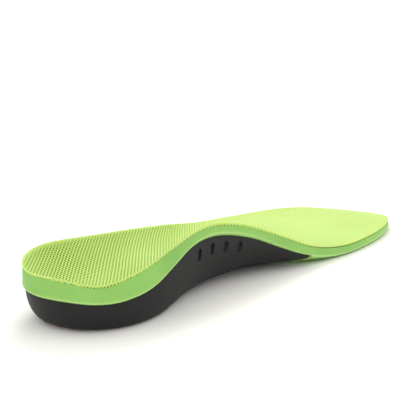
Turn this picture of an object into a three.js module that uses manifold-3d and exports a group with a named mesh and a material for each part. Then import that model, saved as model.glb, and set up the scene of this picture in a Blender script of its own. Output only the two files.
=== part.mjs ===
// Cushioned insole for a left shoe: a knit cover on a moulded foam, an arch shell under the heel and
// waist, and two gel pads. Millimetres, +X to the toe, +Y to the outer side of the foot, +Z up.
// The foam and its cover bend just ahead of the shell, so they are split there by a round knuckle.

import * as THREE from 'three';
import { mergeVertices } from 'three/addons/utils/BufferGeometryUtils.js';
import Module from 'manifold-3d';

const wasm = await Module();
wasm.setup();

// ---------------------------------------------------------------- driving dimensions

// Plan. Stations are distances from the back of the heel.
const length = 260;
const heel = { at: 38, outer: 32.5, inner: 31 };
const waist = { at: 74, inner: 27.5 };
const ball = { at: 180, outer: 50, inner: 43.5 };
const heelBackY = -1;
const toeTipY = -5.5;

// Heights of the cover's upper edge above the floor.
const heelBackHeight = 23.6;
const heelInnerHeight = 20.7;
const heelOuterHeight = 26;
const archHeight = 32.6;
const archAt = 77;
const forefootHeight = 6.2;
const toeHeight = 3.9;

// Heights of the upper face along the middle of the foot bed.
const heelBedHeight = 9.4;
const waistBedHeight = 9.6;
const forefootBedHeight = 5.8;

// Layers, from the top down, and the space left between two of them.
const coverThickness = 1;
const filmThickness = 0.2;
const cementThickness = 0.2;
const layerGap = 0.1;
const padThickness = 2;
const padFit = 0.3;
const padProud = 0.5;

// Arch shell.
const shellInset = 0.8;
const shellFrontAt = 137;
const shellFit = 0.3;
const slotCount = 4;
const slotPitch = 9.5;
const firstSlotAt = 70;
const slotWidth = 2.2;
const slotHeight = 5.5;
const slotDepth = 3;
const slotBelowSeam = 2;

// Pads: length along the foot and width across it. The forefoot pad starts just ahead of the shell.
const heelPad = { x: 31.7, y: -0.9, length: 47.4, width: 40.2 };
const forefootPad = { aheadOfShell: 0.8, y: 2, length: 53.2, width: 80 };
forefootPad.x = shellFrontAt + forefootPad.aheadOfShell + forefootPad.length / 2;

// Flex line, just ahead of the shell and behind the forefoot pad.
const flexAheadOfShell = 0.2;
const flexAt = shellFrontAt + flexAheadOfShell;
const flexSkew = THREE.MathUtils.degToRad(8);
const flexHeight = 3.4;
const knuckleMargin = 1.8;
const knuckleGap = 0.3;

// Fineness of the mesh.
const rimSteps = 92;
const bowlShares = [0, 0.12, 0.28, 0.48, 0.72, 1];
const roundingSteps = 6;
const shellFrontSteps = 48;
const padSteps = 64;
const slotSides = 12;
const knuckleSteps = 28;
const knuckleSides = 36;
const mergeWithin = 1e-4;

// How far the bodies that only cut reach past the insole.
const cutReach = 80;
const cutMargin = 4;

// ---------------------------------------------------------------- helpers

const { lerp } = THREE.MathUtils;

// A smooth line through [station, value] pairs.
function line(points) {
  const stations = points.map((point) => point[0]);
  const values = points.map((point) => point[1]);
  const spline = new THREE.CubicInterpolant(stations, values, 1);
  return (x) => spline.evaluate(THREE.MathUtils.clamp(x, stations[0], stations.at(-1)))[0];
}

function toSolid(geometry) {
  const bare = geometry.index ? geometry.toNonIndexed() : geometry.clone();
  bare.deleteAttribute('normal');
  bare.deleteAttribute('uv');
  const merged = mergeVertices(bare, mergeWithin);
  const triVerts = [];
  for (let i = 0; i < merged.index.count; i += 3) {
    const [a, b, c] = [0, 1, 2].map((k) => merged.index.getX(i + k));
    if (a !== b && b !== c && c !== a) {
      triVerts.push(a, b, c);
    }
  }
  const mesh = new wasm.Mesh({
    numProp: 3,
    vertProperties: new Float32Array(merged.attributes.position.array),
    triVerts: new Uint32Array(triVerts),
  });
  return new wasm.Manifold(mesh);
}

function toGeometry(solid) {
  const mesh = solid.getMesh();
  const geometry = new THREE.BufferGeometry();
  geometry.setAttribute('position', new THREE.BufferAttribute(mesh.vertProperties, mesh.numProp));
  geometry.setIndex(new THREE.BufferAttribute(mesh.triVerts, 1));
  geometry.computeVertexNormals();
  return geometry;
}

// A closed plate between an upper and a lower stack of rings. Each stack starts at the rim and ends
// with the ring that its flat middle fills.
function plate(upper, lower) {
  const corners = [];
  const strip = (outer, inner, up) => {
    outer.forEach((a, i) => {
      const [b, c, d] = [outer[(i + 1) % outer.length], inner[i], inner[(i + 1) % inner.length]];
      corners.push(...(up ? [a, b, c, b, d, c] : [a, c, b, b, c, d]));
    });
  };
  // The middle is bridged from side to side, in step from the heel to the toe.
  const fill = (ring, up) => {
    const count = ring.length;
    const furthest = (sign) => ring.reduce((best, p, i) => (sign * p.x > sign * ring[best].x ? i : best), 0);
    const [start, end] = [furthest(-1), furthest(1)];
    const walk = (step) => {
      const chain = [start];
      while (chain.at(-1) !== end) {
        chain.push((chain.at(-1) + step + count) % count);
      }
      return chain.map((index) => ring[index]);
    };
    const [inner, outer] = [walk(1), walk(-1)];
    let [i, o] = [0, 0];
    while (i < inner.length - 1 || o < outer.length - 1) {
      const stepInner = o === outer.length - 1
        || (i < inner.length - 1 && inner[i + 1].x <= outer[o + 1].x);
      const face = stepInner
        ? [inner[i], inner[i + 1], outer[o]]
        : [inner[i], outer[o + 1], outer[o]];
      corners.push(...(up ? face : face.reverse()));
      if (stepInner) {
        i += 1;
      } else {
        o += 1;
      }
    }
  };
  for (let row = 1; row < upper.length; row += 1) {
    strip(upper[row - 1], upper[row], true);
  }
  for (let row = 1; row < lower.length; row += 1) {
    strip(lower[row - 1], lower[row], false);
  }
  strip(lower[0], upper[0], true);
  fill(upper.at(-1), true);
  fill(lower.at(-1), false);
  return toSolid(new THREE.BufferGeometry().setFromPoints(corners));
}

// A straight-sided block over a plan outline.
function prism(outline, low, high) {
  const flat = outline.map((point) => new THREE.Vector2(point.x, point.y));
  const geometry = new THREE.ExtrudeGeometry(new THREE.Shape(flat), {
    depth: high - low,
    bevelEnabled: false,
  });
  return toSolid(geometry.translate(0, 0, low));
}

// ---------------------------------------------------------------- rim of the insole

// The outline, from the back of the heel along the outer side to the toe and back.
function rimPath() {
  const toeReach = length - ball.at;
  const path = new THREE.Path();
  path.moveTo(0, heelBackY);
  path.bezierCurveTo(0, heelBackY + 22, heel.at - 17, heel.outer - 2, heel.at + 2, heel.outer);
  path.bezierCurveTo(heel.at + 44, heel.outer + 4, ball.at - 50, ball.outer, ball.at - 4, ball.outer);
  path.bezierCurveTo(
    ball.at - 4 + toeReach * 0.46, ball.outer,
    length, toeTipY + 35,
    length, toeTipY,
  );
  path.bezierCurveTo(
    length, toeTipY - 27,
    ball.at + 4 + toeReach * 0.52, -ball.inner,
    ball.at + 4, -ball.inner,
  );
  path.bezierCurveTo(ball.at - 34, -ball.inner, waist.at + 41, -waist.inner, waist.at, -waist.inner);
  path.bezierCurveTo(waist.at - 11, -waist.inner, heel.at + 9, -heel.inner, heel.at - 2, -heel.inner);
  path.bezierCurveTo(heel.at - 21, -heel.inner, 0, heelBackY - 22, 0, heelBackY);
  return path;
}

// Lines along the two sides, by station. "Inner" is the arch side of the foot.
const innerEdge = line([
  [0, heelBackHeight],
  [8, heelInnerHeight],
  [archAt - 55, lerp(heelInnerHeight, archHeight, 0.21)],
  [archAt - 32, lerp(heelInnerHeight, archHeight, 0.71)],
  [archAt, archHeight],
  [archAt + 24, lerp(forefootHeight, archHeight, 0.83)],
  [archAt + 47, lerp(forefootHeight, archHeight, 0.49)],
  [archAt + 68, lerp(forefootHeight, archHeight, 0.17)],
  [archAt + 90, lerp(forefootHeight, archHeight, 0.02)],
  [ball.at + 20, forefootHeight],
  [length - 16, forefootHeight - 0.2],
  [length, toeHeight],
]);
const outerEdge = line([
  [0, heelBackHeight],
  [14, lerp(heelBackHeight, heelOuterHeight, 0.8)],
  [30, heelOuterHeight],
  [archAt, lerp(forefootHeight, heelOuterHeight, 0.75)],
  [archAt + 60, lerp(forefootHeight, heelOuterHeight, 0.35)],
  [ball.at - 12, lerp(forefootHeight, heelOuterHeight, 0.11)],
  [ball.at + 20, forefootHeight + 0.3],
  [length - 16, forefootHeight],
  [length, toeHeight],
]);
// Depth of the green side band, from the cover's edge down to the seam with the shell.
const innerBand = line([
  [0, 8.5], [8, 7.2], [20, 9], [archAt - 43, 9.8], [archAt - 30, 7.8], [archAt - 14, 5],
  [archAt + 33, 4.7], [archAt + 53, 5.6], [archAt + 73, 4.9], [ball.at + 20, 4.2], [length, 2.6],
]);
const outerBand = line([
  [0, 8.5], [30, 8.2], [archAt, 6.8], [archAt + 30, 6.8], [archAt + 55, 8.2],
  [archAt + 75, 7.6], [ball.at, 5], [ball.at + 20, 4.4], [length, 2.6],
]);
// How far in from the rim the underside is rounded.
const innerRounding = line([
  [0, 8], [14, 6], [26, 4.5], [archAt - 34, 5.5], [archAt - 20, 9], [archAt - 5, 14],
  [archAt + 15, 21], [archAt + 38, 27], [archAt + 54, 26], [archAt + 70, 18], [archAt + 84, 10.5],
  [archAt + 98, 5.5], [ball.at + 15, 3.5], [length, 2.5],
]);
const outerRounding = line([
  [0, 8], [20, 7.5], [archAt, 9.5], [archAt + 22, 10.5], [archAt + 45, 7], [ball.at, 4], [length, 2.5],
]);
// How far in from the rim the foot bed has come down to its middle height.
const innerBowl = line([
  [0, 19], [20, 19], [archAt - 27, 24], [archAt + 5, 28], [archAt + 45, 26], [archAt + 75, 18],
  [ball.at + 5, 10], [length, 7],
]);
const outerBowl = line([
  [0, 19], [40, 20], [archAt + 20, 16], [archAt + 60, 11], [ball.at, 9], [length, 7],
]);
// The middle of the foot bed, and how deep the layers above the shell are there.
const bedHeight = line([
  [0, heelBedHeight], [heel.at, heelBedHeight], [archAt + 8, waistBedHeight],
  [shellFrontAt - 26, lerp(waistBedHeight, forefootBedHeight, 0.55)],
  [shellFrontAt - 8, lerp(waistBedHeight, forefootBedHeight, 0.88)],
  [shellFrontAt + 30, forefootBedHeight], [length - 20, forefootBedHeight - 0.2],
  [length, toeHeight - 0.1],
]);
const bedDepth = line([
  [0, 5.5], [archAt + 20, 5], [shellFrontAt, 4.2], [length - 30, 4.2], [length, toeHeight - 1.6],
]);

// How steeply the foot bed, and the depth down to the seam, fall from the rim.
const bowlPower = 2.1;
const seamPower = 2;
const foamTop = coverThickness + filmThickness + 2 * layerGap;

function makeRim(steps) {
  const path = rimPath();
  const samples = 1000;
  const toeIndex = path.getSpacedPoints(samples).reduce(
    (best, point, index, all) => (point.x > all[best].x ? index : best), 0);
  const sides = Array.from({ length: steps }, (_, i) => {
    const share = i / steps;
    const point = path.getPointAt(share);
    const tangent = path.getTangentAt(share);
    const outerSide = share < toeIndex / samples;
    const [edge, band, rounding, bowl] = outerSide
      ? [outerEdge, outerBand, outerRounding, outerBowl]
      : [innerEdge, innerBand, innerRounding, innerBowl];
    return {
      x: point.x,
      y: point.y,
      inward: new THREE.Vector2(tangent.y, -tangent.x),
      edge: edge(point.x),
      band: band(point.x),
      rounding: rounding(point.x),
      bowl: bowl(point.x),
    };
  });
  // Counter-clockwise, seen from above.
  return sides.reverse();
}

const rim = makeRim(rimSteps);
const fineRim = makeRim(10 * rimSteps);

const planPoint = (side, inset) => new THREE.Vector2(
  side.x + side.inward.x * inset, side.y + side.inward.y * inset);

// Upper face of the cover, at a distance in from the rim.
function footBed(side, inset) {
  const bed = bedHeight(planPoint(side, inset).x);
  const fall = Math.pow(1 - THREE.MathUtils.clamp(inset / side.bowl, 0, 1), bowlPower);
  return bed + (side.edge - bed) * fall;
}

// Face that the foam and the shell share, at a distance in from the rim.
function seam(side, inset) {
  const depth = bedDepth(planPoint(side, inset).x);
  const fall = Math.pow(1 - THREE.MathUtils.clamp(inset / side.bowl, 0, 1), seamPower);
  return footBed(side, inset) - depth - (side.band - depth) * fall;
}

function ring(inset, height) {
  return rim.map((side) => {
    const distance = inset(side);
    const point = planPoint(side, distance);
    return new THREE.Vector3(point.x, point.y, height(side, distance));
  });
}

// Rings of a face that follows the bowl, from the shell's edge inwards, and those with the rim added.
const innerRings = (height) => bowlShares.map((share) => ring(
  (side) => lerp(shellInset, side.bowl, share), height));
const bowlRings = (height) => [ring(() => 0, height), ...innerRings(height)];

// Rings of the rounded underside, below the height that the side has at its start.
function undersideRings(start, sideHeight) {
  return Array.from({ length: roundingSteps + 1 }, (_, step) => {
    const turn = (step / roundingSteps) * Math.PI / 2;
    return ring(
      (side) => start + side.rounding * (1 - Math.cos(turn)),
      (side) => lerp(padProud, sideHeight(side), 1 - Math.sin(turn)));
  });
}

// A layer between two depths under the foot bed.
const bedLayer = (top, bottom) => plate(
  bowlRings((side, inset) => footBed(side, inset) - top),
  bowlRings((side, inset) => footBed(side, inset) - bottom));

// ---------------------------------------------------------------- outlines on the underside

function closedOutline(points, steps, grow) {
  const curve = new THREE.CatmullRomCurve3(
    points.map(([x, y]) => new THREE.Vector3(x, y, 0)), true, 'centripetal');
  return Array.from({ length: steps }, (_, i) => {
    const point = curve.getPointAt(i / steps);
    const tangent = curve.getTangentAt(i / steps);
    return new THREE.Vector2(point.x + tangent.y * grow, point.y - tangent.x * grow);
  });
}

// Shares of half the pad's length and width, counter-clockwise.
const heelPadShares = [
  [-1, 0], [-0.9, -0.43], [-0.76, -0.73], [-0.53, -0.94], [-0.24, -1], [0, -0.93], [0.15, -0.76],
  [0.29, -0.55], [0.45, -0.34], [0.67, -0.16], [0.89, 0.06], [1, 0.38], [0.97, 0.6], [0.83, 0.83],
  [0.56, 0.97], [0.19, 1], [-0.15, 0.93], [-0.45, 0.82], [-0.72, 0.64], [-0.92, 0.37],
];
const forefootPadShares = [
  [-0.91, 0.97], [-1, 0.9], [-0.94, 0.77], [-0.77, 0.58], [-0.7, 0.36], [-0.72, 0.12],
  [-0.75, -0.14], [-0.71, -0.42], [-0.55, -0.68], [-0.24, -0.87], [0.15, -0.98], [0.53, -1],
  [0.84, -0.94], [1, -0.8], [0.97, -0.57], [0.87, -0.26], [0.81, 0.06], [0.81, 0.44],
  [0.75, 0.69], [0.6, 0.87], [0.32, 0.98], [-0.17, 1], [-0.7, 1],
];

const padOutline = (pad, shares, grow) => closedOutline(
  shares.map(([u, v]) => [pad.x + u * pad.length / 2, pad.y + v * pad.width / 2]), padSteps, grow);

// Everything behind the shell's front edge. The edge sweeps forward to a tip on the arch side.
function behindShellFront(grow) {
  const edge = new THREE.CatmullRomCurve3([
    [-26, 62], [-21.5, 46], [-18.5, 42.2], [-12.5, 38.8], [-5.6, 30.5], [-1, 16], [0, 0],
    [-1, -16], [2, -26.5], [6, -36], [8.5, -44], [12, -62],
  ].map(([x, y]) => new THREE.Vector3(shellFrontAt + x + grow, y, 0)), false, 'centripetal');
  const outline = edge.getPoints(shellFrontSteps).reverse();
  outline.unshift(new THREE.Vector2(-cutReach, outline[0].y));
  outline.push(new THREE.Vector2(-cutReach, outline.at(-1).y));
  return prism(outline, -cutReach, cutReach);
}

// ---------------------------------------------------------------- flex line

const flexPoint = (across) => new THREE.Vector2(
  flexAt - across * Math.sin(flexSkew), across * Math.cos(flexSkew));

// Height of the cover above a plan point, found from the nearest side of the rim.
function bedAbove(point) {
  const nearest = fineRim.reduce((best, side) => (
    point.distanceTo(side) < point.distanceTo(best) ? side : best));
  const outside = new THREE.Vector2(point.x - nearest.x, point.y - nearest.y).dot(nearest.inward) < 0;
  return footBed(nearest, outside ? 0 : point.distanceTo(nearest));
}

// A round body about the flex axis, everywhere thick enough to reach through the insole.
function knuckle(grow) {
  const profile = [new THREE.Vector2(0, -cutReach)];
  for (let i = 0; i <= knuckleSteps; i += 1) {
    const across = lerp(-cutReach, cutReach, i / knuckleSteps);
    const radius = bedAbove(flexPoint(across)) - flexHeight + knuckleMargin + grow;
    profile.push(new THREE.Vector2(radius, across));
  }
  profile.push(new THREE.Vector2(0, cutReach));
  const geometry = new THREE.LatheGeometry(profile, knuckleSides);
  geometry.rotateZ(flexSkew);
  geometry.translate(flexAt, 0, flexHeight);
  return toSolid(geometry);
}

function splitAtFlex(solid) {
  const span = length + 2 * cutReach;
  const behind = new THREE.BoxGeometry(span, span, span);
  behind.translate(-span / 2, 0, 0);
  behind.rotateZ(flexSkew);
  behind.translate(flexAt, 0, 0);
  const behindSolid = toSolid(behind);
  return {
    rear: solid.intersect(behindSolid.add(knuckle(0))),
    front: solid.subtract(behindSolid.add(knuckle(knuckleGap))),
  };
}

// ---------------------------------------------------------------- sub-parts

const padCeiling = padThickness + cementThickness + 2 * layerGap;
const padSolid = (pad, shares) => prism(padOutline(pad, shares, 0), 0, padThickness);
const padRecess = (pad, shares) => prism(
  padOutline(pad, shares, padFit), -cutMargin, padCeiling);
const padCement = (pad, shares) => prism(
  padOutline(pad, shares, 0), padThickness + layerGap, padCeiling - layerGap);

function topCover() {
  return bedLayer(0, coverThickness);
}

function coverFilm() {
  return bedLayer(coverThickness + layerGap, coverThickness + layerGap + filmThickness);
}

function foamCushion() {
  const blank = plate(
    bowlRings((side, inset) => footBed(side, inset) - foamTop),
    undersideRings(0, (side) => side.edge - side.band));
  const overShell = plate(
    [ring(() => -cutMargin, (side) => seam(side, 0)), ...bowlRings(seam)],
    [ring(() => -cutMargin, () => -cutReach)]);
  return blank
    .subtract(overShell.intersect(behindShellFront(0)))
    .subtract(padRecess(forefootPad, forefootPadShares));
}

const cementTop = (side, inset) => seam(side, inset) - layerGap;
const cementBottom = (side, inset) => cementTop(side, inset) - cementThickness;
const shellTop = (side, inset) => cementBottom(side, inset) - layerGap;

function shellCement() {
  return plate(innerRings(cementTop), innerRings(cementBottom))
    .intersect(behindShellFront(-shellFit));
}

// One blind slot in the arch-side wall: a round-ended bar that points into the wall.
function wallSlot(station) {
  const side = fineRim.filter((candidate) => candidate.y < 0 && candidate.x < ball.at)
    .reduce((best, candidate) => (
      Math.abs(candidate.x - station) < Math.abs(best.x - station) ? candidate : best));
  const top = shellTop(side, shellInset) - slotBelowSeam;
  const bar = new THREE.CapsuleGeometry(
    slotWidth / 2, slotHeight - slotWidth, slotSides / 2, slotSides);
  bar.rotateX(Math.PI / 2);
  bar.scale(1, 2 * slotDepth / slotWidth, 1);
  bar.translate(station, side.y + shellInset, top - slotHeight / 2);
  return toSolid(bar);
}

function archShell() {
  let shell = plate(
    innerRings(shellTop),
    undersideRings(shellInset, (side) => shellTop(side, shellInset)))
    .intersect(behindShellFront(-shellFit))
    .subtract(padRecess(heelPad, heelPadShares));
  for (let i = 0; i < slotCount; i += 1) {
    shell = shell.subtract(wallSlot(firstSlotAt + i * slotPitch));
  }
  return shell;
}

// ---------------------------------------------------------------- materials and assembly

const knit = () => new THREE.MeshStandardMaterial({ color: 0xc8e878, roughness: 0.85, metalness: 0 });
const foam = () => new THREE.MeshStandardMaterial({ color: 0x9bd873, roughness: 0.7, metalness: 0 });
const film = () => new THREE.MeshStandardMaterial({ color: 0xf0f0e4, roughness: 0.4, metalness: 0 });
const shell = () => new THREE.MeshStandardMaterial({ color: 0x333335, roughness: 0.6, metalness: 0 });
const cement = () => new THREE.MeshStandardMaterial({ color: 0xe6d9a8, roughness: 0.5, metalness: 0 });
const gel = () => new THREE.MeshStandardMaterial({ color: 0xf7925a, roughness: 0.5, metalness: 0 });

const insole = new THREE.Group();

function addPart(name, solid, material) {
  const mesh = new THREE.Mesh(toGeometry(solid), material);
  mesh.name = name;
  insole.add(mesh);
}

const cover = splitAtFlex(topCover());
const coverBond = splitAtFlex(coverFilm());
const cushion = splitAtFlex(foamCushion());

addPart('top_cover_rear', cover.rear, knit());
addPart('top_cover_front', cover.front, knit());
addPart('cover_film_rear', coverBond.rear, film());
addPart('cover_film_front', coverBond.front, film());
addPart('foam_cushion_rear', cushion.rear, foam());
addPart('foam_cushion_front', cushion.front, foam());
addPart('shell_cement', shellCement(), cement());
addPart('arch_shell', archShell(), shell());
addPart('heel_pad', padSolid(heelPad, heelPadShares), gel());
addPart('heel_pad_cement', padCement(heelPad, heelPadShares), cement());
addPart('forefoot_pad', padSolid(forefootPad, forefootPadShares), gel());
addPart('forefoot_pad_cement', padCement(forefootPad, forefootPadShares), cement());

// The origin is the middle of the insole's box, on the floor.
const box = new THREE.Box3().setFromObject(insole);
const middle = box.getCenter(new THREE.Vector3());
insole.position.set(-middle.x, -middle.y, -box.min.z);

export default insole;
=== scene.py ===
# %% [markdown]
# # A cushioned insole, dressed round its frame
# A cushioned insole is a sandwich: a knit cover on top, a thin film that glues it down, a moulded
# foam cushion, a stiff plastic shell cemented under the arch and heel, and two gel pads let into the
# underside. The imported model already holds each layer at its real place. Loading it first, as a
# fixed frame, means that every size below can be checked against it.

# %% Load the frame
import math

import bmesh
import bpy
import numpy as np
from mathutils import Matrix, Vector


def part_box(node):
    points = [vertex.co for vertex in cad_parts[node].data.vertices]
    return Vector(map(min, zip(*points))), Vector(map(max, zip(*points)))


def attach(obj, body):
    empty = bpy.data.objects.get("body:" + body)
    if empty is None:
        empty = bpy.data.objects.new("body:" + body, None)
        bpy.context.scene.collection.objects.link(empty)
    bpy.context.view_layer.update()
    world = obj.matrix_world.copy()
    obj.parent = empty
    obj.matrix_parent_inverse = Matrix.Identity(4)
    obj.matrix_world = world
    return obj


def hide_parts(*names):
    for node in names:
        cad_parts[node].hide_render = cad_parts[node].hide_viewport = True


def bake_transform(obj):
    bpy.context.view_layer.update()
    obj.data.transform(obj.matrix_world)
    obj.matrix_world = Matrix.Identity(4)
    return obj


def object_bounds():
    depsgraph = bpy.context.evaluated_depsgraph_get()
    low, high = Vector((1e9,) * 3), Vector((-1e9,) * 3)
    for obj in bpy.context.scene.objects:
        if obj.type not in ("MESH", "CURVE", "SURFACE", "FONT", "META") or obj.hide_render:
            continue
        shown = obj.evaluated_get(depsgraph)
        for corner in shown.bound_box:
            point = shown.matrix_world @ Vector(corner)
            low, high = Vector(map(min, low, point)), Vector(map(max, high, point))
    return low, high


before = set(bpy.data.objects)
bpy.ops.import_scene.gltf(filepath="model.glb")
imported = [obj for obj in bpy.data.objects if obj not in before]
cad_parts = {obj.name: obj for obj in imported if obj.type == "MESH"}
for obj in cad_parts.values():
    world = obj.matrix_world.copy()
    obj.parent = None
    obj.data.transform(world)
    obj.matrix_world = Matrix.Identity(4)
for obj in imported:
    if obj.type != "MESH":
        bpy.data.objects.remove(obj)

MM = 0.001
cad_low, cad_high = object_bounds()
print("frame, mm:", [round(side / MM, 1) for side in cad_high - cad_low])

# %% [markdown]
# ## Sizes
# A last maker sets out a foot from the back of the heel: so far to the heel's widest place, so far to
# the waist, so far to the ball. The same stations are used here, in millimetres, with y to the outer
# side of the foot and z up from the floor. One vector then takes a place on the foot into the frame.

# %% Stations and heights
foot_length = 260
heel_at, heel_outer, heel_inner = 38, 32.5, 31
waist_at, waist_inner = 74, 27.5
ball_at, ball_outer, ball_inner = 180, 50, 43.5
heel_back_y, toe_tip_y = -1, -5.5

heel_back_height, heel_inner_height, heel_outer_height = 23.6, 20.7, 26
arch_height, arch_at = 32.6, 77
forefoot_height, toe_height = 6.2, 3.9
heel_bed, waist_bed, forefoot_bed = 9.4, 9.6, 5.8

cover_thick, film_thick, cement_thick, layer_gap = 1.0, 0.2, 0.2, 0.05
foam_top = 1.4  # below the cover's upper face
shell_front_at = 137
shell_below_seam = 0.4
sole_height = 0.5

# The heel's back and the inner side of the ball are the frame's own edges.
foot_origin = Vector((cad_low.x, cad_low.y + ball_inner * MM, 0))


def placed(points):
    """Points on the foot, in millimetres, as points in the frame, in metres."""
    return np.asarray(points, float) * MM + np.array(foot_origin)


print("heel back at", tuple(round(c, 4) for c in foot_origin))

# %% [markdown]
# ## Smooth lines and outlines
# Edges of an insole are trimmed along a template, so they are smooth between a few set points. Three
# tools are enough: a line that runs through (station, value) points, whose slope at each point is the
# mean of its neighbours' slopes, Bezier curves for the outline, with the handles a pattern drafter
# would draw, and a curve through plan points for the pads and the shell's front edge.


# %% Lines through points
def smooth_line(points):
    """A smooth line through (station, value) points: a function of an array of stations."""
    stations, values = np.array(points, float).T
    rises = np.diff(values) / np.diff(stations)
    slopes = np.concatenate([rises[:1], (rises[1:] + rises[:-1]) / 2, rises[-1:]])

    def at(x):
        x = np.clip(x, stations[0], stations[-1])
        k = np.clip(np.searchsorted(stations, x, side="right") - 1, 0, len(rises) - 1)
        span = stations[k + 1] - stations[k]
        t = (x - stations[k]) / span
        start, end = 2 * t**3 - 3 * t**2 + 1, 3 * t**2 - 2 * t**3
        lean = (t**3 - 2 * t**2 + t) * slopes[k] + (t**3 - t**2) * slopes[k + 1]
        return start * values[k] + end * values[k + 1] + span * lean

    return at


def bezier(a, b, c, d, steps=60):
    """Points along a Bezier curve, without its last one."""
    t = np.linspace(0, 1, steps, endpoint=False)[:, None]
    a, b, c, d = (np.array(p, float) for p in (a, b, c, d))
    return (1 - t) ** 3 * a + 3 * (1 - t) ** 2 * t * b + 3 * (1 - t) * t**2 * c + t**3 * d


def evenly(points, count, closed=False):
    """Points spaced evenly along a line of points. A closed line isn't given its first point twice."""
    points = np.asarray(points, float)
    if closed:
        points = np.concatenate([points, points[:1]])
    along = np.concatenate([[0], np.cumsum(np.linalg.norm(np.diff(points, axis=0), axis=1))])
    wanted = np.linspace(0, along[-1], count, endpoint=not closed)
    return np.column_stack([np.interp(wanted, along, column) for column in points.T])


def through(points, closed=False, steps=16):
    """Points along a smooth curve through some points (centripetal, so that it never loops)."""
    points = [np.array(p, float) for p in points]
    count = len(points)
    made = []
    for i in range(count if closed else count - 1):
        if closed:
            p0, p1, p2, p3 = (points[(i + k) % count] for k in (-1, 0, 1, 2))
        else:
            p0, p1, p2, p3 = (points[min(max(i + k, 0), count - 1)] for k in (-1, 0, 1, 2))
        d1 = math.sqrt(np.linalg.norm(p2 - p1))
        d0 = math.sqrt(np.linalg.norm(p1 - p0)) or d1
        d2 = math.sqrt(np.linalg.norm(p3 - p2)) or d1
        lean_1 = ((p1 - p0) / d0 - (p2 - p0) / (d0 + d1) + (p2 - p1) / d1) * d1
        lean_2 = ((p2 - p1) / d1 - (p3 - p1) / (d1 + d2) + (p3 - p2) / d2) * d1
        made.append(bezier(p1, p1 + lean_1 / 3, p2 - lean_2 / 3, p2, steps))
    if not closed:
        made.append(points[-1][None])
    return np.concatenate(made)


# %% The rim, and the lines along its two sides
HALF = 360  # points on each side of the foot
SIDES = 2 * HALF
toe_reach = foot_length - ball_at

inner_side = np.concatenate([
    bezier((0, heel_back_y), (0, heel_back_y - 22),
           (heel_at - 21, -heel_inner), (heel_at - 2, -heel_inner)),
    bezier((heel_at - 2, -heel_inner), (heel_at + 9, -heel_inner),
           (waist_at - 11, -waist_inner), (waist_at, -waist_inner)),
    bezier((waist_at, -waist_inner), (waist_at + 41, -waist_inner),
           (ball_at - 34, -ball_inner), (ball_at + 4, -ball_inner)),
    bezier((ball_at + 4, -ball_inner), (ball_at + 4 + 0.52 * toe_reach, -ball_inner),
           (foot_length, toe_tip_y - 27), (foot_length, toe_tip_y)),
    [(foot_length, toe_tip_y)],
])
outer_side = np.concatenate([
    bezier((foot_length, toe_tip_y), (foot_length, toe_tip_y + 35),
           (ball_at - 4 + 0.46 * toe_reach, ball_outer), (ball_at - 4, ball_outer)),
    bezier((ball_at - 4, ball_outer), (ball_at - 50, ball_outer),
           (heel_at + 44, heel_outer + 4), (heel_at + 2, heel_outer)),
    bezier((heel_at + 2, heel_outer), (heel_at - 17, heel_outer - 2),
           (0, heel_back_y + 22), (0, heel_back_y)),
    [(0, heel_back_y)],
])
# Counter-clockwise from the back of the heel, with as many points on each side of the foot.
rim = np.concatenate([evenly(inner_side, HALF + 1)[:-1], evenly(outer_side, HALF + 1)[:-1]])
along_rim = np.roll(rim, -1, axis=0) - np.roll(rim, 1, axis=0)
along_rim /= np.linalg.norm(along_rim, axis=1)[:, None]
inward = np.column_stack([-along_rim[:, 1], along_rim[:, 0]])


def between(low, high, share):
    """The value at a share of the way from low to high."""
    return low + (high - low) * share


def sides(inner_points, outer_points):
    """The value at each point of the rim, from one smooth line for each side of the foot."""
    inner, outer = smooth_line(inner_points), smooth_line(outer_points)
    return np.concatenate([inner(rim[:HALF, 0]), outer(rim[HALF:, 0])])


# Height of the cover's edge.
edge = sides(
    [(0, heel_back_height), (8, heel_inner_height),
     (22, between(heel_inner_height, arch_height, 0.21)),
     (45, between(heel_inner_height, arch_height, 0.71)),
     (arch_at, arch_height), (101, between(forefoot_height, arch_height, 0.83)),
     (124, between(forefoot_height, arch_height, 0.49)), (145, between(forefoot_height, arch_height, 0.17)),
     (167, between(forefoot_height, arch_height, 0.02)), (200, forefoot_height),
     (244, forefoot_height - 0.2), (foot_length, toe_height)],
    [(0, heel_back_height), (14, between(heel_back_height, heel_outer_height, 0.8)),
     (30, heel_outer_height), (arch_at, between(forefoot_height, heel_outer_height, 0.75)),
     (137, between(forefoot_height, heel_outer_height, 0.35)),
     (168, between(forefoot_height, heel_outer_height, 0.11)), (200, forefoot_height + 0.3),
     (244, forefoot_height), (foot_length, toe_height)])
# Depth of the foam's side, from the cover's edge down to the seam.
band = sides(
    [(0, 8.5), (8, 7.2), (20, 9), (34, 9.8), (47, 7.8), (63, 5), (110, 4.7), (130, 5.6), (150, 4.9),
     (200, 4.2), (foot_length, 2.6)],
    [(0, 8.5), (30, 8.2), (77, 6.8), (107, 6.8), (132, 8.2), (152, 7.6), (180, 5), (200, 4.4),
     (foot_length, 2.6)])
# How far in from the rim the underside is rounded, and how far in the bowl of the foot bed ends.
rounding = sides(
    [(0, 8), (14, 6), (26, 4.5), (43, 5.5), (57, 9), (72, 14), (92, 21), (115, 27), (131, 26),
     (147, 18), (161, 10.5), (175, 5.5), (195, 3.5), (foot_length, 2.5)],
    [(0, 8), (20, 7.5), (77, 9.5), (99, 10.5), (122, 7), (180, 4), (foot_length, 2.5)])
bowl = sides(
    [(0, 19), (20, 19), (50, 24), (82, 28), (122, 26), (152, 18), (185, 10), (foot_length, 7)],
    [(0, 19), (40, 20), (97, 16), (137, 11), (180, 9), (foot_length, 7)])
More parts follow.
